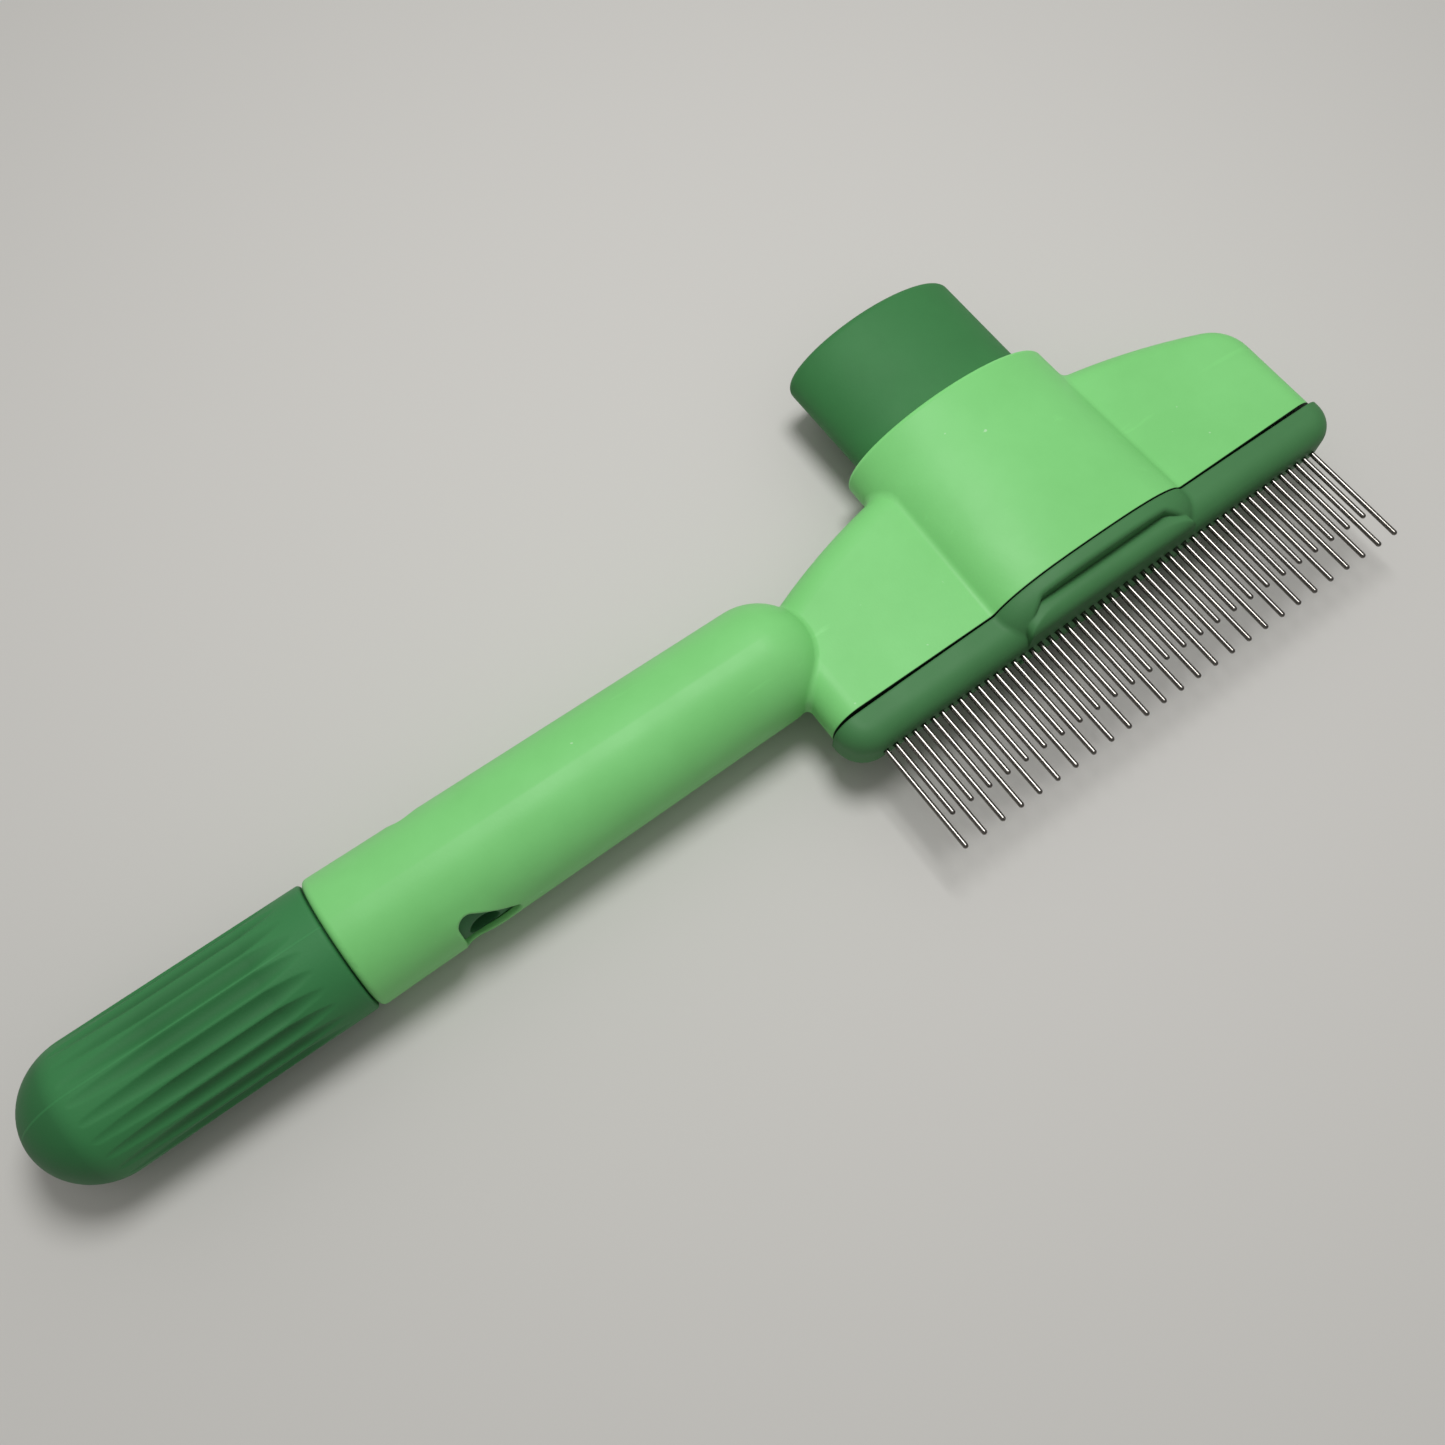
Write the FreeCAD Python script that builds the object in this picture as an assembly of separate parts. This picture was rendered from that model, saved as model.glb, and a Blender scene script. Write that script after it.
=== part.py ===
"""One-click self-clearing pet comb, lying flat.

A round handle carries an arched head with a single row of steel teeth. A
thumb button stands in an oval collar on top of the head. Pressing it pushes
a stripper bar down the teeth and clears the fur; two springs bring it back.

Working frame of this file, in millimetres: X runs along the handle towards
the head, with X = 0 at the middle of the teeth; Y = 0 is the handle's axis
and the teeth point to -Y; Z = 0 is the plane that the teeth lie in. Saved
parts are moved so that the comb lies on Z = 0 with its box centred on X, Y.
"""
import FreeCAD, Part
import math
import os

os.makedirs("parts", exist_ok=True)

Vector = FreeCAD.Vector
ALONG_X = Vector(1, 0, 0)
ALONG_Y = Vector(0, 1, 0)
ALONG_Z = Vector(0, 0, 1)
TOWARDS_TIPS = Vector(0, -1, 0)

# ---- driving dimensions ------------------------------------------------

# teeth
tooth_count = 51
tooth_pitch = 1.6
tooth_radius = 0.4
long_tip_y = -37.0
short_tip_y = -32.4
tooth_root_y = -9.0

# button travel
stroke = 12.0

# handle: a slightly tapered tube, closed at the far end by the cap
tube_end_x = -112.7
tube_end_radius = 9.5
neck_radius = 8.9
neck_x = -46.7
tube_bore_radius = 7.3
tube_bore_end_x = -52.0
socket_radius = 8.4
socket_end_gap = 0.9
tube_end_rounding = 0.9
mid_height = tube_end_radius

# handle cap: a plain band, flutes and a domed end, with a plug inside the tube
cap_gap = 0.2
cap_radius = 9.35
cap_length = 42.8
cap_edge_radius = 0.5
flute_count = 22
flute_radius = 1.7
flute_depth = 0.55
flute_start = 3.5
flute_even_start = 9.5
flute_even_end = 23.0
flute_end = 36.0
plug_radius = 8.3
plug_length = 27.0
plug_chamfer = 1.0
seal_ring_start = 6.0
seal_ring_width = 1.8
seal_ring_depth = 0.9
seal_ring_edge_radius = 0.3

# hang hole: a rounded triangle through the tube, round through the plug
hang_hole_base_x = -98.0
hang_hole_corner_z = 3.1
hang_hole_corner_radius = 1.6
hang_hole_point_x = -92.6
hang_hole_point_radius = 1.2
hang_hole_edge_radius = 0.4
hang_bore_x = -96.3
hang_bore_radius = 2.2

# head: thin arched wings and an oval collar
head_bottom_y = -14.2
head_half_length = 44.5
arch_top_y = 12.85
arch_radius = 106.0
arch_corner_radius = 7.0
wing_half_thickness = 4.4
wing_edge_radius = 4.0
wing_wall = 2.0
collar_top_y = 16.4
collar_half_length = 18.3
collar_half_thickness = 9.5
collar_foot_half_thickness = 8.45
collar_foot_squareness = 2.8
collar_edge_radius = 0.7
bore_half_length = 15.3
bore_half_thickness = 7.7
crease_radius = 1.4
collar_crease_x = (15.0, 18.5)
neck_crease_radius = 0.9

# ledges inside the collar that the tooth holder hangs from
ledge_inner_x = 11.3
ledge_outer_x = 19.5
ledge_bottom_y = -1.0
ledge_top_y = 1.8
ledge_screw_x = 13.3
ledge_grip = 0.4

# tooth holder, with the brass spine that the teeth are set in
slot_half_width = 2.4
holder_half_width = 2.3
holder_half_length = 42.2
holder_bottom_y = -13.9
holder_end_radius = 0.6
spine_half_width = 1.3
spine_half_length = 41.2
spine_top_y = -8.4
spine_bottom_y = -13.7

# screws
screw_head_radius = 1.9
screw_head_height = 1.1
screw_radius = 1.0
screw_length = 6.2
screw_hole_clearance = 0.1
screw_pilot_radius = 0.85
screw_crown_radius = 0.5
screw_point_chamfer = 0.4
screw_cross_width = 0.5
screw_cross_length = 2.3
screw_cross_depth = 0.6

# return springs on their guide rods
guide_x = 7.0
rod_radius = 1.5
rod_top_y = 18.5
rod_socket_depth = 5.0
rod_tip_radius = 0.4
washer_radius = 3.7
washer_thickness = 0.5
spring_radius = 3.3
spring_wire_radius = 0.3
spring_coils = 10

# button: an oval cap whose skirt ends in two legs
button_top_y = 35.3
button_half_length = 15.2
button_half_thickness = 7.6
button_wall = 1.9
button_roof = 2.4
button_edge_radius = 1.3
button_crown_radius = 700.0
leg_slot_half_width = 2.75
leg_slot_clearance = 0.6
guide_tube_radius = 2.65
guide_tube_bottom_y = 12.3
guide_bore_end_gap = 0.9
spring_seat_radius = 3.9
spring_seat_y = 20.5
spring_seat_thickness = 1.2
bush_radius = 2.05
bush_length = 5.0
bush_clearance = 0.05

# feet that join the legs to the stripper bar
foot_half_length = 8.0
foot_inner_z = 2.8
foot_outer_z = 6.4
foot_top_y = -9.0
tongue_half_length = 7.0
tongue_outer_z = 4.2
tongue_depth = 3.6

# stripper bar: same outline as the head, with a bulge under the collar
bar_half_length = 45.0
bar_top_y = -14.4
bar_end_drop = 0.35
bar_bottom_y = -20.0
bar_corner_radius = 4.6
bar_edge_radius = 3.2
bar_hole_clearance = 0.08
lip_bottom_y = -16.6
lip_half_thickness = 8.25
shoulder_bottom_y = -19.6
shoulder_half_length = 16.2
shoulder_half_thickness = 4.6
shoulder_edge_radius = 1.2
recess_half_length = 11.2
recess_end_slope = 6.6
recess_corner_radius = 0.9
recess_edge_radius = 0.7
bulge_crease_radius = 1.2
bulge_crease_x = (15.0, 18.5)
rib_radius = 2.1
rib_half_length = 15.2
rib_half_thickness = 6.0
rib_squareness = 8.0

# overall box, which sets where the origin is
cap_end_x = tube_end_x - cap_gap - cap_length
centre_shift_x = -(cap_end_x + bar_half_length) / 2
centre_shift_y = -(long_tip_y + button_top_y) / 2
TO_SAVED_FRAME = Vector(centre_shift_x, centre_shift_y, mid_height)

# deep enough to cut right through any section of the comb
THROUGH = 40.0

# points that a rounded outline's curve passes through
OUTLINE_POINTS = 32


# ---- helpers -----------------------------------------------------------

def save(shape, name):
    """Write one part, moved from the working frame to the saved frame."""
    moved = shape.copy()
    moved.translate(TO_SAVED_FRAME)
    moved.exportStep("parts/" + name + ".step")
    box = moved.optimalBoundingBox()
    print(name, "solids", len(moved.Solids), "valid", moved.isValid(),
          "volume", round(moved.Volume, 1),
          "box", [round(v, 2) for v in (box.XMin, box.YMin, box.ZMin, box.XMax, box.YMax, box.ZMax)])


def block(x0, x1, y0, y1, z0, z1):
    """Box between two opposite corners."""
    corner = Vector(min(x0, x1), min(y0, y1), min(z0, z1))
    return Part.makeBox(abs(x1 - x0), abs(y1 - y0), abs(z1 - z0), corner)


def post(x, z, radius, y0, y1):
    """Cylinder along Y between two heights."""
    low = min(y0, y1)
    return Part.makeCylinder(radius, abs(y1 - y0), Vector(x, low, z), ALONG_Y)


def oval(half_length, half_thickness, y0, y1):
    """Elliptical cylinder along Y, centred on X = 0, Z = 0."""
    low = min(y0, y1)
    ellipse = Part.Ellipse(Vector(half_length, low, 0), Vector(0, low, half_thickness), Vector(0, low, 0))
    face = Part.Face(Part.Wire([ellipse.toShape()]))
    return face.extrude(ALONG_Y * abs(y1 - y0))


def rounded_outline(half_length, half_thickness, squareness, y):
    """Closed curve at one height: an oval at squareness 2, and fuller towards its corners above that."""
    points = []
    for index in range(OUTLINE_POINTS):
        angle = 2 * math.pi * (index + 0.5) / OUTLINE_POINTS
        reach_x = math.copysign(abs(math.cos(angle)) ** (2 / squareness), math.cos(angle))
        reach_z = math.copysign(abs(math.sin(angle)) ** (2 / squareness), math.sin(angle))
        points.append(Vector(half_length * reach_x, y, half_thickness * reach_z))
    curve = Part.BSplineCurve()
    curve.interpolate(points, PeriodicFlag=True)
    return Part.Wire([curve.toShape()])


def dome(radius, x, direction):
    """Half ball on the handle's axis, its flat side at x."""
    return Part.makeSphere(radius, Vector(x, 0, 0), direction, 0, 90)


def edges_at(shape, chosen):
    """Edges whose middle point satisfies a test."""
    picked = []
    for edge in shape.Edges:
        middle = edge.valueAt((edge.FirstParameter + edge.LastParameter) / 2)
        if chosen(edge, middle):
            picked.append(edge)
    return picked


def near(value, target, tolerance=0.01):
    return abs(value - target) < tolerance


def mirrored_x(shape):
    """The same shape on the other side of the middle tooth."""
    return shape.mirror(Vector(0, 0, 0), ALONG_X)


def mirrored_z(shape):
    """The same shape on the other face of the comb."""
    return shape.mirror(Vector(0, 0, 0), ALONG_Z)


# ---- head and handle ---------------------------------------------------

def arch_slab(inset, half_thickness):
    """Arched side outline of the head, drawn in by an inset and extruded along Z."""
    half_length = head_half_length - inset
    radius = arch_radius - inset
    top = arch_top_y - inset
    shoulder = top - (radius - math.sqrt(radius ** 2 - half_length ** 2))
    low = Vector(-half_length, head_bottom_y, -half_thickness)
    left = Vector(-half_length, shoulder, -half_thickness)
    middle = Vector(0, top, -half_thickness)
    right = Vector(half_length, shoulder, -half_thickness)
    end = Vector(half_length, head_bottom_y, -half_thickness)
    wire = Part.Wire([
        Part.LineSegment(low, left).toShape(),
        Part.Arc(left, middle, right).toShape(),
        Part.LineSegment(right, end).toShape(),
        Part.LineSegment(end, low).toShape(),
    ])
    slab = Part.Face(wire).extrude(ALONG_Z * (2 * half_thickness))
    corners = edges_at(slab, lambda edge, middle: near(middle.z, 0) and middle.y > head_bottom_y + 1)
    return slab.makeFillet(arch_corner_radius - inset, corners)


def head_wings():
    """Both thin wings, with their outline rounded on each face."""
    slab = arch_slab(0, wing_half_thickness)
    rims = edges_at(slab, lambda edge, middle:
                    near(abs(middle.z), wing_half_thickness) and middle.y > head_bottom_y + 0.5)
    return slab.makeFillet(wing_edge_radius, rims)


def collar():
    """Bulge that carries the button: an oval at its top edge, flatter and fuller at its foot."""
    foot = rounded_outline(collar_half_length, collar_foot_half_thickness, collar_foot_squareness,
                           head_bottom_y)
    rim = rounded_outline(collar_half_length, collar_half_thickness, 2, collar_top_y)
    bulge = Part.makeLoft([foot, rim], True, True)
    top = edges_at(bulge, lambda edge, middle: near(edge.BoundBox.YMin, collar_top_y))
    return bulge.makeFillet(collar_edge_radius, top)


def handle_tube():
    """Tapered round handle with a dome at the neck."""
    cone = Part.makeCone(tube_end_radius, neck_radius, neck_x - tube_end_x,
                         Vector(tube_end_x, 0, 0), ALONG_X)
    rim = edges_at(cone, lambda edge, middle: near(edge.BoundBox.XMax, tube_end_x))
    cone = cone.makeFillet(tube_end_rounding, rim)
    return cone.fuse(dome(neck_radius, neck_x, ALONG_X)).removeSplitter()


def tangent_points(first, second):
    """Ends of the straight line that touches two circles (x, z, radius) on their left."""
    x0, z0, radius0 = first
    x1, z1, radius1 = second
    span = math.hypot(x1 - x0, z1 - z0)
    angle = math.atan2(z1 - z0, x1 - x0) + math.acos((radius0 - radius1) / span)
    return [Vector(x + radius * math.cos(angle), -THROUGH, z + radius * math.sin(angle))
            for x, z, radius in (first, second)]


def hang_hole_cutter():
    """Rounded triangle along Y, its point towards the head."""
    circles = [(hang_hole_base_x, -hang_hole_corner_z, hang_hole_corner_radius),
               (hang_hole_base_x, hang_hole_corner_z, hang_hole_corner_radius),
               (hang_hole_point_x, 0, hang_hole_point_radius)]
    corners = []
    for first, second in zip(circles, circles[1:] + circles[:1]):
        corners += tangent_points(first, second)
    middle = Part.Face(Part.makePolygon(corners + corners[:1])).extrude(ALONG_Y * (2 * THROUGH))
    rounds = [post(x, z, radius, -THROUGH, THROUGH) for x, z, radius in circles]
    return middle.fuse(rounds).removeSplitter()


def holder_ledge():
    """Bridge across the head's slot that one end of the tooth holder is screwed to."""
    ledge = block(ledge_inner_x, ledge_outer_x, ledge_bottom_y, ledge_top_y,
                  -slot_half_width, slot_half_width)
    root = block(bore_half_length + 1, ledge_outer_x, ledge_bottom_y, ledge_top_y,
                 -slot_half_width - ledge_grip, slot_half_width + ledge_grip)
    hole = post(ledge_screw_x, 0, screw_radius + screw_hole_clearance, ledge_bottom_y - 1, ledge_top_y + 1)
    seat = post(ledge_screw_x, 0, screw_head_radius + screw_hole_clearance,
                ledge_top_y - screw_head_height, ledge_top_y + 1)
    return ledge.fuse(root).cut([hole, seat])


def main_body():
    """Handle tube and head in one moulding, hollow inside."""
    head = head_wings().fuse(collar()).removeSplitter()
    collar_creases = edges_at(head, lambda edge, middle:
                              collar_crease_x[0] < abs(middle.x) < collar_crease_x[1]
                              and head_bottom_y + 0.5 < middle.y < arch_top_y + 1)
    head = head.makeFillet(crease_radius, collar_creases)
    outside = head.fuse(handle_tube()).removeSplitter()
    neck = Vector(neck_x, 0, 0)
    neck_creases = edges_at(outside, lambda edge, middle:
                            middle.x > neck_x + 0.1
                            and near(middle.distanceToPoint(neck), neck_radius, 0.05))
    outside = outside.makeFillet(neck_crease_radius, neck_creases)
    slot = arch_slab(wing_wall, slot_half_width)
    bore = oval(bore_half_length, bore_half_thickness, head_bottom_y - 1, collar_top_y + 1)
    mouth = Vector(tube_end_x - 1, 0, 0)
    tube_bore = Part.makeCylinder(tube_bore_radius, tube_bore_end_x - mouth.x, mouth, ALONG_X)
    socket_end_x = tube_end_x - cap_gap + plug_length + socket_end_gap
    socket = Part.makeCylinder(socket_radius, socket_end_x - mouth.x, mouth, ALONG_X)
    body = outside.cut([slot, bore, tube_bore, socket, hang_hole_cutter()])
    rim = edges_at(body, lambda edge, middle:
                   abs(middle.x - hang_bore_x) < plug_radius
                   and math.hypot(middle.y, middle.z) > (socket_radius + neck_radius) / 2)
    body = body.makeFillet(hang_hole_edge_radius, rim)
    ledge = holder_ledge()
    return body.fuse([ledge, mirrored_x(ledge)]).removeSplitter()


# ---- handle cap --------------------------------------------------------

cap_face_x = tube_end_x - cap_gap


def flute_cutter(index):
    """Shallow groove along the cap, of even depth in the middle and fading out at both ends."""
    stations = [(flute_start, 0), (flute_even_start, flute_depth),
                (flute_even_end, flute_depth), (flute_end, 0)]
    path = [Vector(cap_face_x - along, 0, cap_radius + flute_radius - depth) for along, depth in stations]
    groove = Part.makeSphere(flute_radius, path[1]).fuse(Part.makeSphere(flute_radius, path[2]))
    for start, end in zip(path, path[1:]):
        groove = groove.fuse(Part.makeCylinder(flute_radius, (end - start).Length, start, end - start))
    groove.rotate(Vector(0, 0, 0), ALONG_X, 360.0 * (index + 0.5) / flute_count)
    return groove


def end_cap():
    """Fluted, domed cap with the plug that holds it in the handle tube."""
    straight_end_x = cap_end_x + cap_radius
    barrel_start = Vector(straight_end_x, 0, 0)
    barrel = Part.makeCylinder(cap_radius, cap_face_x - straight_end_x, barrel_start, ALONG_X)
    joint_edge = edges_at(barrel, lambda edge, middle: near(edge.BoundBox.XMin, cap_face_x))
    barrel = barrel.makeFillet(cap_edge_radius, joint_edge)
    cap = barrel.fuse(dome(cap_radius, straight_end_x, ALONG_X * -1)).removeSplitter()
    cap = cap.cut([flute_cutter(index) for index in range(flute_count)])
    plug = Part.makeCylinder(plug_radius, plug_length + 1, Vector(cap_face_x - 1, 0, 0), ALONG_X)
    plug_edge = edges_at(plug, lambda edge, middle: near(edge.BoundBox.XMin, cap_face_x + plug_length))
    plug = plug.makeChamfer(plug_chamfer, plug_edge)
    hang_bore = post(hang_bore_x, 0, hang_bore_radius, -THROUGH, THROUGH)
    return cap.fuse(plug).cut([seal_ring_space(plug_radius + 1), hang_bore]).removeSplitter()


def seal_ring_space(outer_radius):
    """Ring-shaped space round the plug, out to a radius."""
    start = Vector(cap_face_x + seal_ring_start, 0, 0)
    outer = Part.makeCylinder(outer_radius, seal_ring_width, start, ALONG_X)
    return outer.cut(Part.makeCylinder(plug_radius - seal_ring_depth, seal_ring_width, start, ALONG_X))


def cap_seal_ring():
    """Rubber ring that grips the tube's socket and keeps the cap on."""
    band = seal_ring_space(socket_radius)
    corners = edges_at(band, lambda edge, middle: near(math.hypot(middle.y, middle.z), socket_radius)
                       and near(edge.BoundBox.XLength, 0))
    return band.makeFillet(seal_ring_edge_radius, corners)


# ---- teeth and what holds them -----------------------------------------

def tooth_xs(first):
    """X of every second tooth, starting from the first or the second."""
    half_row = tooth_pitch * (tooth_count - 1) / 2
    return [index * tooth_pitch - half_row for index in range(first, tooth_count, 2)]


def tooth(x, tip_y):
    """Round pin with a ball-shaped tip."""
    ball_y = tip_y + tooth_radius
    tip = Part.makeSphere(tooth_radius, Vector(x, ball_y, 0), TOWARDS_TIPS, 0, 90)
    return post(x, 0, tooth_radius, ball_y, tooth_root_y).fuse(tip)


def teeth(first, tip_y):
    """All the pins of one length."""
    return Part.makeCompound([tooth(x, tip_y) for x in tooth_xs(first)])


def comb_spine():
    """Brass strip with a blind hole for each tooth."""
    strip = block(-spine_half_length, spine_half_length, spine_bottom_y, spine_top_y,
                  -spine_half_width, spine_half_width)
    holes = [post(x, 0, tooth_radius, spine_bottom_y - 1, tooth_root_y) for x in tooth_xs(0) + tooth_xs(1)]
    return strip.cut(holes)


def tooth_holder():
    """Moulded bar that grips the spine, screwed up against the ledges."""
    bar = block(-holder_half_length, holder_half_length, holder_bottom_y, ledge_bottom_y,
                -holder_half_width, holder_half_width)
    ends = edges_at(bar, lambda edge, middle: near(edge.BoundBox.YLength, ledge_bottom_y - holder_bottom_y))
    bar = bar.makeFillet(holder_end_radius, ends)
    channel = block(-spine_half_length, spine_half_length, holder_bottom_y - 1, spine_top_y,
                    -spine_half_width, spine_half_width)
    cuts = [channel]
    for side in (-1, 1):
        cuts.append(post(side * ledge_screw_x, 0, screw_pilot_radius,
                         ledge_bottom_y + 1, ledge_bottom_y - screw_length))
        cuts.append(post(side * guide_x, 0, rod_radius,
                         ledge_bottom_y + 1, ledge_bottom_y - rod_socket_depth))
    return bar.cut(cuts)


def holder_screw(x):
    """Pan-head screw with a cross recess, pointing to the teeth."""
    seat_y = ledge_top_y - screw_head_height
    head = post(x, 0, screw_head_radius, seat_y, ledge_top_y)
    crown = edges_at(head, lambda edge, middle: near(edge.BoundBox.YMin, ledge_top_y))
    head = head.makeFillet(screw_crown_radius, crown)
    shank = post(x, 0, screw_radius, seat_y, seat_y - screw_length)
    point = edges_at(shank, lambda edge, middle: near(edge.BoundBox.YMax, seat_y - screw_length))
    shank = shank.makeChamfer(screw_point_chamfer, point)
    arm = screw_cross_length / 2
    half = screw_cross_width / 2
    cross = [block(x - arm, x + arm, ledge_top_y - screw_cross_depth, ledge_top_y + 1, -half, half),
             block(x - half, x + half, ledge_top_y - screw_cross_depth, ledge_top_y + 1, -arm, arm)]
    return head.fuse(shank).cut(cross)


def holder_screws():
    """The two screws that hold the tooth holder."""
    return Part.makeCompound([holder_screw(-ledge_screw_x), holder_screw(ledge_screw_x)])


# ---- return springs and guides, one pair on each side ------------------

roof_under_y = button_top_y - button_roof
washer_top_y = ledge_bottom_y + washer_thickness


def guide_rod(x):
    """Steel rod pressed into the holder, which the button slides along."""
    rod = post(x, 0, rod_radius, ledge_bottom_y - rod_socket_depth, rod_top_y)
    top = edges_at(rod, lambda edge, middle: near(edge.BoundBox.YMin, rod_top_y))
    return rod.makeFillet(rod_tip_radius, top)


def ring(x, inner_radius, outer_radius, y0, y1):
    """Plain ring along Y."""
    return post(x, 0, outer_radius, y0, y1).cut(post(x, 0, inner_radius, y0 - 1, y1 + 1))


def return_spring(x):
    """Compression spring between its washer and the seat on the button's guide tube."""
    low = washer_top_y + spring_wire_radius
    height = spring_seat_y - spring_wire_radius - low
    helix = Part.makeHelix(height / spring_coils, height, spring_radius)
    wire_section = Part.Wire([Part.makeCircle(spring_wire_radius, Vector(spring_radius, 0, 0), ALONG_Y)])
    spring = Part.Wire(helix.Edges).makePipeShell([wire_section], True, True)
    spring.rotate(Vector(0, 0, 0), ALONG_X, -90)
    spring.translate(Vector(x, low, 0))
    return spring


# ---- button and stripper bar, which move together ----------------------

def leg_foot():
    """Thick end of one leg, with the tongue that is pressed into the stripper bar."""
    foot = block(-foot_half_length, foot_half_length, bar_top_y, foot_top_y, foot_inner_z, foot_outer_z)
    tongue = block(-tongue_half_length, tongue_half_length, bar_top_y - tongue_depth, bar_top_y + 1,
                   foot_inner_z, tongue_outer_z)
    return foot.fuse(tongue)


def push_button():
    """Oval thumb button, hollow, with two long legs and two guide tubes that carry the spring seats."""
    outside = oval(button_half_length, button_half_thickness, bar_top_y, button_top_y + 1)
    crown = Part.makeCylinder(button_crown_radius, 2 * THROUGH,
                              Vector(0, button_top_y - button_crown_radius, -THROUGH), ALONG_Z)
    outside = outside.common(crown)
    top = edges_at(outside, lambda edge, middle: edge.BoundBox.YMin > button_top_y - 1)
    outside = outside.makeFillet(button_edge_radius, top)
    inside = oval(button_half_length - button_wall, button_half_thickness - button_wall,
                  bar_top_y - 1, roof_under_y)
    shell = outside.cut(inside)
    slot_top_y = ledge_top_y + stroke + leg_slot_clearance
    slot = block(ledge_inner_x - leg_slot_clearance, button_half_length + 1, bar_top_y - 1, slot_top_y,
                 -leg_slot_half_width, leg_slot_half_width)
    shell = shell.cut([slot, mirrored_x(slot)])
    additions = [leg_foot(), mirrored_z(leg_foot())]
    for side in (-1, 1):
        additions.append(post(side * guide_x, 0, guide_tube_radius, guide_tube_bottom_y, roof_under_y + 1))
        additions.append(post(side * guide_x, 0, spring_seat_radius,
                              spring_seat_y, spring_seat_y + spring_seat_thickness))
    shell = shell.fuse(additions).removeSplitter()
    bore_end_y = roof_under_y - guide_bore_end_gap
    bores = [post(side * guide_x, 0, bush_radius, guide_tube_bottom_y - 1, bore_end_y)
             for side in (-1, 1)]
    return shell.cut(bores)


def bar_slab():
    """Long rounded bar under the whole head, its top sagging a little at the ends."""
    end_y = bar_top_y - bar_end_drop
    z = -wing_half_thickness
    left = Vector(-bar_half_length, end_y, z)
    middle = Vector(0, bar_top_y, z)
    right = Vector(bar_half_length, end_y, z)
    low_right = Vector(bar_half_length, bar_bottom_y, z)
    low_left = Vector(-bar_half_length, bar_bottom_y, z)
    wire = Part.Wire([
        Part.Arc(left, middle, right).toShape(),
        Part.LineSegment(right, low_right).toShape(),
        Part.LineSegment(low_right, low_left).toShape(),
        Part.LineSegment(low_left, left).toShape(),
    ])
    slab = Part.Face(wire).extrude(ALONG_Z * (2 * wing_half_thickness))
    corners = edges_at(slab, lambda edge, middle: near(middle.z, 0) and near(middle.y, bar_bottom_y))
    slab = slab.makeFillet(bar_corner_radius, corners)
    rims = edges_at(slab, lambda edge, middle:
                    near(abs(middle.z), wing_half_thickness) and middle.y < end_y - 0.05)
    return slab.makeFillet(bar_edge_radius, rims)


def bar_recess():
    """Space below the lip, its ends sloping outwards to the bottom of the bar."""
    low_half_length = recess_half_length + recess_end_slope
    low_y = bar_bottom_y - 1
    corners = [Vector(-recess_half_length, lip_bottom_y, -THROUGH),
               Vector(recess_half_length, lip_bottom_y, -THROUGH),
               Vector(low_half_length, low_y, -THROUGH),
               Vector(-low_half_length, low_y, -THROUGH)]
    space = Part.Face(Part.makePolygon(corners + corners[:1])).extrude(ALONG_Z * (2 * THROUGH))
    lip_corners = edges_at(space, lambda edge, middle: near(middle.z, 0) and near(middle.y, lip_bottom_y))
    return space.makeFillet(recess_corner_radius, lip_corners)


def bar_bulge():
    """Bulge that follows the collar's foot, then tapers into the bar, with a recess across it."""
    sections = [(collar_half_length, collar_foot_half_thickness, bar_top_y),
                (collar_half_length, lip_half_thickness, lip_bottom_y),
                (shoulder_half_length, shoulder_half_thickness, shoulder_bottom_y)]
    bulge = Part.makeLoft([rounded_outline(half_length, half_thickness, collar_foot_squareness, y)
                           for half_length, half_thickness, y in sections], True)
    low_edge = edges_at(bulge, lambda edge, middle: near(edge.BoundBox.YMax, shoulder_bottom_y))
    bulge = bulge.makeFillet(shoulder_edge_radius, low_edge)
    bulge = bulge.cut(bar_recess())
    rim = edges_at(bulge, lambda edge, middle:
                   shoulder_bottom_y < middle.y < lip_bottom_y + 0.05
                   and near(abs(middle.x), recess_half_length, recess_end_slope)
                   or near(middle.y, lip_bottom_y, 0.05) and abs(middle.x) < 1)
    return bulge.makeFillet(recess_edge_radius, rim)


def bar_rib():
    """Thicker, round-edged run of the bar inside the recess, narrowing towards its ends."""
    axis_z = rib_half_thickness - rib_radius
    axis_y = bar_bottom_y + rib_radius
    top_y = axis_y + rib_radius
    rib = block(-rib_half_length, rib_half_length, bar_bottom_y, top_y, -axis_z, axis_z)
    starts = [Vector(-rib_half_length, axis_y, z) for z in (-axis_z, axis_z)]
    rounds = [Part.makeCylinder(rib_radius, 2 * rib_half_length, start, ALONG_X) for start in starts]
    plan = rounded_outline(rib_half_length, rib_half_thickness, rib_squareness, bar_bottom_y - 1)
    limit = Part.Face(plan).extrude(ALONG_Y * (top_y - bar_bottom_y + 2))
    return rib.fuse(rounds).common(limit)


def stripper_bar():
    """Bar that slides along the teeth and clears them, fixed to the button's legs."""
    bar = bar_slab().fuse(bar_bulge()).removeSplitter()
    creases = edges_at(bar, lambda edge, middle:
                       bulge_crease_x[0] < abs(middle.x) < bulge_crease_x[1]
                       and bar_bottom_y + 0.5 < middle.y < bar_top_y - 0.3)
    bar = bar.makeFillet(bulge_crease_radius, creases).fuse(bar_rib()).removeSplitter()
    holes = [post(x, 0, tooth_radius + bar_hole_clearance, bar_bottom_y - 1, bar_top_y + 1)
             for x in tooth_xs(0) + tooth_xs(1)]
    pocket = block(-tongue_half_length, tongue_half_length, bar_top_y - tongue_depth, bar_top_y + 1,
                   foot_inner_z, tongue_outer_z)
    return bar.cut(holes + [pocket, mirrored_z(pocket)])


# ---- build -------------------------------------------------------------

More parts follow.
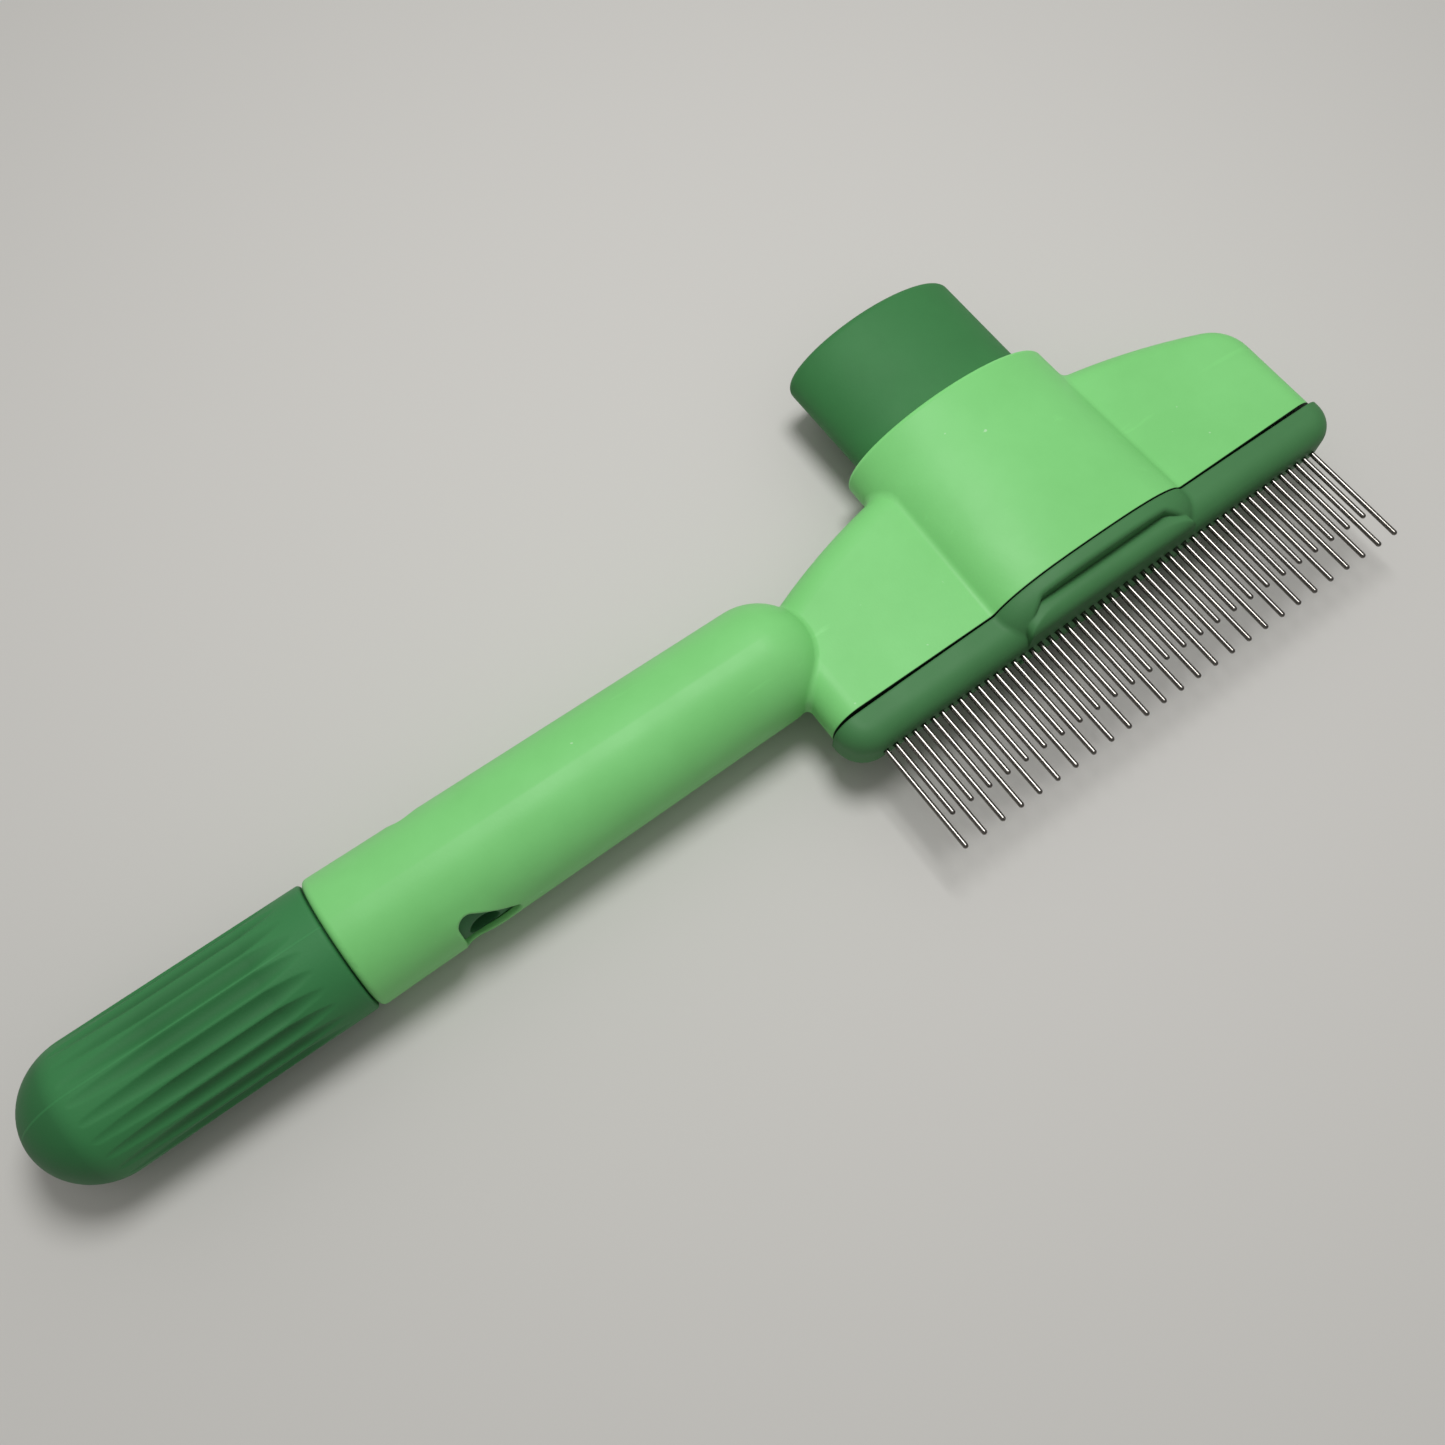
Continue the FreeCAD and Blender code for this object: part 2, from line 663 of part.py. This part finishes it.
save(main_body(), "main_body")
save(end_cap(), "end_cap")
save(cap_seal_ring(), "cap_seal_ring")
save(tooth_holder(), "tooth_holder")
save(comb_spine(), "comb_spine")
save(teeth(0, long_tip_y), "long_teeth")
save(teeth(1, short_tip_y), "short_teeth")
save(holder_screws(), "holder_screws")
save(push_button(), "push_button")
save(stripper_bar(), "stripper_bar")

for side_name, x in (("left", -guide_x), ("right", guide_x)):
    save(guide_rod(x), "guide_rod_" + side_name)
    save(ring(x, rod_radius, washer_radius, ledge_bottom_y, washer_top_y), "spring_washer_" + side_name)
    save(return_spring(x), "return_spring_" + side_name)
    save(ring(x, rod_radius + bush_clearance, bush_radius, guide_tube_bottom_y,
              guide_tube_bottom_y + bush_length), "guide_bush_" + side_name)
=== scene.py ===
"""Looks of the self-clearing comb: materials, floor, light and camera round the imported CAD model."""
import math

import bpy
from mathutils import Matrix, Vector


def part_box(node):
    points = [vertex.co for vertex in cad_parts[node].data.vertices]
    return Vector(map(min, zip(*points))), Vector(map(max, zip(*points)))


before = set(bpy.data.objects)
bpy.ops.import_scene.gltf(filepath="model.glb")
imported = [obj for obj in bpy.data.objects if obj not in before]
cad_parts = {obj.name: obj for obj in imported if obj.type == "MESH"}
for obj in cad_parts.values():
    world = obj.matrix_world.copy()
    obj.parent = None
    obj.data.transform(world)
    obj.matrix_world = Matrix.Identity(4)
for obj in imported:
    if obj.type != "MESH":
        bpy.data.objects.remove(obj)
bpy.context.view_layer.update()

MM = 0.001

# ---- places on the comb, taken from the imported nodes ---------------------

cap_low, cap_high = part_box("end_cap")
body_low, body_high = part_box("main_body")
HANDLE_AXIS_Y = (cap_low.y + cap_high.y) / 2
MID_HEIGHT = (cap_low.z + cap_high.z) / 2
CAP_RADIUS = (cap_high.z - cap_low.z) / 2
HEAD_BOTTOM_Y = body_low.y
COLLAR_TOP_Y = body_high.y
FLUTE_DEPTH = 0.55 * MM

# ---- colours, linear -----------------------------------------------------

LIGHT_GREEN = (0.226, 0.665, 0.212)
LIGHT_GREEN_DEEP = (0.208, 0.628, 0.193)
PALE_SPECK = (0.75, 0.9, 0.72)
CAP_GREEN = (0.038, 0.195, 0.063)
BUTTON_GREEN = (0.043, 0.200, 0.060)
BAR_GREEN = (0.062, 0.210, 0.073)
# colour of the painted shade along the body's bottom edge, above the bar
GAP_SHADE_GREEN = (0.004, 0.014, 0.005)
STEEL = (0.30, 0.285, 0.26)
TOOTH_STEEL = (0.20, 0.19, 0.175)
BRASS = (0.30, 0.20, 0.08)
HOLDER_BLACK = (0.012, 0.014, 0.012)
RUBBER = (0.02, 0.02, 0.02)
FLOOR = (0.62, 0.61, 0.585)

# ---- light and camera ----------------------------------------------------

SKY_COLOUR = (1.0, 0.985, 0.96, 1.0)
SKY_DIM = 0.16
SKY_BRIGHT = 0.48
SKY_BRIGHTEST_TOWARDS = (0.08, 0.24, 0.97)
KEY_PLACE = (0.06, 0.06, 0.36)
KEY_SIZE = 0.14
KEY_POWER = 0.78
FLOOR_HALF_WIDTH = 1.5
CAMERA_PLACE = (-0.0436, -0.0633, 0.1861)
CAMERA_ANGLES = (22.86, 0.1, -36.02)
CAMERA_LENS = 35.2
CAMERA_SENSOR = 36.0
CAMERA_NEAR = 0.01


# ---- material helpers ----------------------------------------------------

class Nodes:
    """Short way to add and join shader nodes in one material; noise scales are repeats per metre."""

    def __init__(self, name):
        self.material = bpy.data.materials.new(name)
        self.material.use_nodes = True
        self.tree = self.material.node_tree
        self.shader = self.tree.nodes["Principled BSDF"]
        self.place = self.add("ShaderNodeTexCoord").outputs["Object"]

    def add(self, kind, inputs=None, **settings):
        node = self.tree.nodes.new(kind)
        for name, value in settings.items():
            setattr(node, name, value)
        for name, value in (inputs or {}).items():
            self.put(node.inputs[name], value)
        return node

    def put(self, socket, value):
        """Link another node's output to a socket, or set the socket's own value."""
        if isinstance(value, bpy.types.NodeSocket):
            self.tree.links.new(value, socket)
        else:
            socket.default_value = value

    def noise(self, scale, detail=2.0, roughness=0.5, stretch=None):
        place = self.place
        if stretch is not None:
            place = self.add("ShaderNodeVectorMath", {0: place, 1: stretch}, operation="MULTIPLY").outputs[0]
        node = self.add("ShaderNodeTexNoise", {"Vector": place, "Scale": scale,
                                               "Detail": detail, "Roughness": roughness})
        return node.outputs["Fac"]

    def ramp(self, value, low, high, out_low=0.0, out_high=1.0):
        """Straight ramp from low to high, held level past both ends."""
        node = self.add("ShaderNodeMapRange", {"Value": value, "From Min": low, "From Max": high,
                                               "To Min": out_low, "To Max": out_high})
        return node.outputs["Result"]

    def mix(self, amount, first, second):
        """Blend of two colours."""
        node = self.add("ShaderNodeMix", data_type="RGBA")
        factor, colour_a, colour_b = node.inputs[0], node.inputs[6], node.inputs[7]
        self.put(factor, amount)
        self.put(colour_a, first)
        self.put(colour_b, second)
        return node.outputs[2]

    def maths(self, operation, first, second=0.0):
        node = self.add("ShaderNodeMath", operation=operation)
        self.put(node.inputs[0], first)
        self.put(node.inputs[1], second)
        return node.outputs[0]

    def scaled(self, value, factor):
        return self.maths("MULTIPLY", value, factor)

    def axes(self):
        """X, Y and Z of the shaded point in the comb's frame."""
        split = self.add("ShaderNodeSeparateXYZ", {"Vector": self.place})
        return split.outputs[0], split.outputs[1], split.outputs[2]

    def distance(self, value, middle):
        return self.maths("ABSOLUTE", self.maths("SUBTRACT", value, middle))

    def bump(self, height, strength, distance, normal=None):
        inputs = {"Height": height, "Strength": strength, "Distance": distance}
        if normal is not None:
            inputs["Normal"] = normal
        return self.add("ShaderNodeBump", inputs).outputs["Normal"]

    def finish(self, specular=0.5, **inputs):
        """Set the shader's inputs by name, with _ for a space, and return the material."""
        self.shader.inputs["Specular IOR Level"].default_value = specular
        for name, value in inputs.items():
            self.put(self.shader.inputs[name.replace("_", " ")], value)
        return self.material


def rgba(colour, factor=1.0):
    return (*[channel * factor for channel in colour], 1.0)


def moulded_skin(n, grain_depth, edge_softness):
    """Normal of a moulded surface: softened edges, slight waves from the mould and a fine grain."""
    edges = n.add("ShaderNodeBevel", {"Radius": edge_softness}, samples=4).outputs["Normal"]
    waves = n.bump(n.noise(scale=160.0, detail=3.0), strength=0.3, distance=0.06 * MM, normal=edges)
    grain = n.noise(scale=2600.0, detail=2.0, roughness=0.6)
    return n.bump(grain, strength=0.4, distance=grain_depth, normal=waves)


# ---- materials -----------------------------------------------------------

def light_plastic():
    """Satin light green: faint mottling, scuffs along the handle with a painted sheen, specks, a painted
    highlight along the collar's rim and painted shade darkening the bottom edge.
    """
    n = Nodes("light_plastic")
    y = n.axes()[1]
    mottle = n.ramp(n.noise(scale=70.0, detail=5.0, roughness=0.6), low=0.35, high=0.65)
    tone = n.mix(mottle, rgba(LIGHT_GREEN_DEEP), rgba(LIGHT_GREEN))
    streaks = n.noise(scale=1.0, detail=4.0, roughness=0.55, stretch=(60.0, 420.0, 420.0))
    scuffs_and_sheen = n.ramp(streaks, low=0.66, high=0.74)
    # painted sheen: the scuffs are lightened in colour, and their lower roughness below adds real gloss
    tone = n.mix(n.scaled(scuffs_and_sheen, 0.35), tone, rgba(LIGHT_GREEN, factor=1.12))
    specks = n.ramp(n.noise(scale=900.0, detail=1.0), low=0.80, high=0.84)
    tone = n.mix(n.scaled(specks, 0.4), tone, rgba(PALE_SPECK))
    # painted highlight: a paler band just below the collar's rim
    painted_rim_highlight = n.ramp(y, low=COLLAR_TOP_Y - 0.7 * MM, high=COLLAR_TOP_Y - 0.2 * MM)
    tone = n.mix(n.scaled(painted_rim_highlight, 0.5), tone, rgba(LIGHT_GREEN, factor=1.35))
    # painted shade: the body's bottom edge darkened nearly to black, where shade falls in the gap above the
    # bar
    painted_gap_shade = n.ramp(y, low=HEAD_BOTTOM_Y + 0.02 * MM, high=HEAD_BOTTOM_Y + 0.12 * MM, out_low=1.0, out_high=0.0)
    tone = n.mix(painted_gap_shade, tone, rgba(GAP_SHADE_GREEN))
    gloss = n.ramp(n.noise(scale=90.0, detail=3.0), low=0.3, high=0.7, out_low=0.40, out_high=0.50)
    gloss = n.maths("SUBTRACT", gloss, n.scaled(scuffs_and_sheen, 0.12))
    skin = moulded_skin(n, grain_depth=0.03 * MM, edge_softness=0.3 * MM)
    return n.finish(Base_Color=tone, Roughness=gloss, Normal=skin, specular=0.25)


def cap_plastic():
    """Matte dark green: paler on the ridges as wear and painted highlight, darker in the flutes as dust and
    painted shade, with the mould's parting line.
    """
    n = Nodes("cap_plastic")
    y, z = n.axes()[1:]
    across = n.maths("SUBTRACT", y, HANDLE_AXIS_Y)
    up = n.maths("SUBTRACT", z, MID_HEIGHT)
    squares = n.maths("ADD", n.maths("MULTIPLY", across, across), n.maths("MULTIPLY", up, up))
    radius = n.maths("SQRT", squares)
    # darker towards the flute bottoms and paler towards the ridges: dust and wear, with painted shade in the
    # flutes and painted highlight on the ridges
    ridge_wear_and_flute_shade = n.ramp(radius, low=CAP_RADIUS - FLUTE_DEPTH, high=CAP_RADIUS)
    patches = n.noise(scale=60.0, detail=5.0, roughness=0.6)
    mottle = n.ramp(patches, low=0.3, high=0.7, out_low=-0.2, out_high=0.2)
    tone = n.mix(n.maths("ADD", ridge_wear_and_flute_shade, mottle), rgba(CAP_GREEN, factor=0.80), rgba(CAP_GREEN, factor=1.12))
    parting = n.ramp(n.distance(y, HANDLE_AXIS_Y), low=0.08 * MM, high=0.2 * MM, out_low=1.0, out_high=0.0)
    tone = n.mix(n.scaled(parting, 0.35), tone, rgba(CAP_GREEN, factor=1.5))
    gloss = n.ramp(n.noise(scale=120.0, detail=3.0), low=0.3, high=0.7, out_low=0.5, out_high=0.62)
    skin = moulded_skin(n, grain_depth=0.05 * MM, edge_softness=0.5 * MM)
    skin = n.bump(parting, strength=0.5, distance=0.05 * MM, normal=skin)
    return n.finish(Base_Color=tone, Roughness=gloss, Normal=skin, specular=0.25)


def plain_plastic(name, colour, roughness):
    """Matte moulded plastic with faint mottling and fine grain."""
    n = Nodes(name)
    mottle = n.ramp(n.noise(scale=65.0, detail=5.0, roughness=0.6), low=0.35, high=0.65)
    tone = n.mix(mottle, rgba(colour, factor=0.95), rgba(colour, factor=1.05))
    gloss = n.ramp(n.noise(scale=110.0, detail=3.0), low=0.3, high=0.7,
                   out_low=roughness - 0.05, out_high=roughness + 0.05)
    skin = moulded_skin(n, grain_depth=0.03 * MM, edge_softness=0.5 * MM)
    return n.finish(Base_Color=tone, Roughness=gloss, Normal=skin, specular=0.25)


def drawn_metal(name, colour, roughness):
    """Polished wire or rod along Y, with fine drawing lines."""
    n = Nodes(name)
    lines = n.noise(scale=1.0, detail=3.0, roughness=0.6, stretch=(4000.0, 150.0, 4000.0))
    tone = n.mix(n.ramp(lines, low=0.3, high=0.7), rgba(colour, factor=0.85), rgba(colour))
    gloss = n.ramp(lines, low=0.3, high=0.7, out_low=roughness - 0.05, out_high=roughness + 0.06)
    grooves = n.bump(lines, strength=0.1, distance=0.005 * MM)
    return n.finish(Base_Color=tone, Metallic=1.0, Roughness=gloss, Normal=grooves)


def black_rubber():
    """Dull rubber with a little dust."""
    n = Nodes("seal_rubber")
    dust = n.ramp(n.noise(scale=900.0, detail=4.0), low=0.5, high=0.75)
    tone = n.mix(dust, rgba(RUBBER), rgba(RUBBER, factor=3.0))
    skin = n.bump(n.noise(scale=3000.0), strength=0.3, distance=0.03 * MM)
    return n.finish(Base_Color=tone, Roughness=0.7, Normal=skin)


def floor_paint():
    """Even, matte floor."""
    n = Nodes("floor_paint")
    return n.finish(Base_Color=rgba(FLOOR), Roughness=0.8)


def paint(names, material):
    for name in names:
        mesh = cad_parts[name].data
        mesh.materials.clear()
        mesh.materials.append(material)


paint(["main_body"], light_plastic())
paint(["end_cap"], cap_plastic())
paint(["push_button"], plain_plastic("button_plastic", BUTTON_GREEN, roughness=0.6))
paint(["stripper_bar"], plain_plastic("bar_plastic", BAR_GREEN, roughness=0.55))
paint(["tooth_holder"], plain_plastic("holder_plastic", HOLDER_BLACK, roughness=0.5))
paint(["long_teeth", "short_teeth"], drawn_metal("tooth_steel", TOOTH_STEEL, roughness=0.13))
paint(["guide_rod_left", "guide_rod_right", "spring_washer_left", "spring_washer_right",
       "return_spring_left", "return_spring_right", "holder_screws"],
      drawn_metal("rod_steel", STEEL, roughness=0.3))
paint(["comb_spine", "guide_bush_left", "guide_bush_right"], drawn_metal("spine_brass", BRASS, roughness=0.4))
paint(["cap_seal_ring"], black_rubber())


# ---- floor, light and camera ---------------------------------------------

def add_object(name, data):
    thing = bpy.data.objects.new(name, data)
    bpy.context.scene.collection.objects.link(thing)
    return thing


def pale_floor():
    half = FLOOR_HALF_WIDTH
    corners = [(-half, -half, 0), (half, -half, 0), (half, half, 0), (-half, half, 0)]
    mesh = bpy.data.meshes.new("floor")
    mesh.from_pydata(corners, [], [(0, 1, 2, 3)])
    floor = add_object("floor", mesh)
    mesh.materials.append(floor_paint())


def soft_world():
    """Even studio light, brightest above the comb's back and dim at the horizon."""
    world = bpy.data.worlds.new("studio")
    world.use_nodes = True
    tree = world.node_tree
    direction = tree.nodes.new("ShaderNodeTexCoord")
    towards = tree.nodes.new("ShaderNodeVectorMath")
    towards.operation = "DOT_PRODUCT"
    towards.inputs[1].default_value = SKY_BRIGHTEST_TOWARDS
    rise = tree.nodes.new("ShaderNodeMapRange")
    rise.interpolation_type = "SMOOTHSTEP"
    rise.inputs["To Min"].default_value = SKY_DIM
    rise.inputs["To Max"].default_value = SKY_BRIGHT
    background = tree.nodes["Background"]
    background.inputs["Color"].default_value = SKY_COLOUR
    tree.links.new(direction.outputs["Generated"], towards.inputs[0])
    tree.links.new(towards.outputs["Value"], rise.inputs["Value"])
    tree.links.new(rise.outputs["Result"], background.inputs["Strength"])
    bpy.context.scene.world = world


def key_light():
    """Round soft light above the comb, turned to its middle."""
    light = bpy.data.lights.new("key", "AREA")
    light.shape = "DISK"
    light.size = KEY_SIZE
    light.energy = KEY_POWER
    lamp = add_object("key", light)
    lamp.location = KEY_PLACE
    lamp.rotation_euler = (-Vector(KEY_PLACE)).to_track_quat("-Z", "Y").to_euler()


def add_camera():
    data = bpy.data.cameras.new("camera")
    data.lens = CAMERA_LENS
    data.sensor_width = CAMERA_SENSOR
    data.clip_start = CAMERA_NEAR
    camera = add_object("camera", data)
    camera.location = CAMERA_PLACE
    camera.rotation_euler = [math.radians(angle) for angle in CAMERA_ANGLES]
    bpy.context.scene.camera = camera


pale_floor()
soft_world()
key_light()
add_camera()
bpy.context.scene.view_settings.view_transform = "Standard"
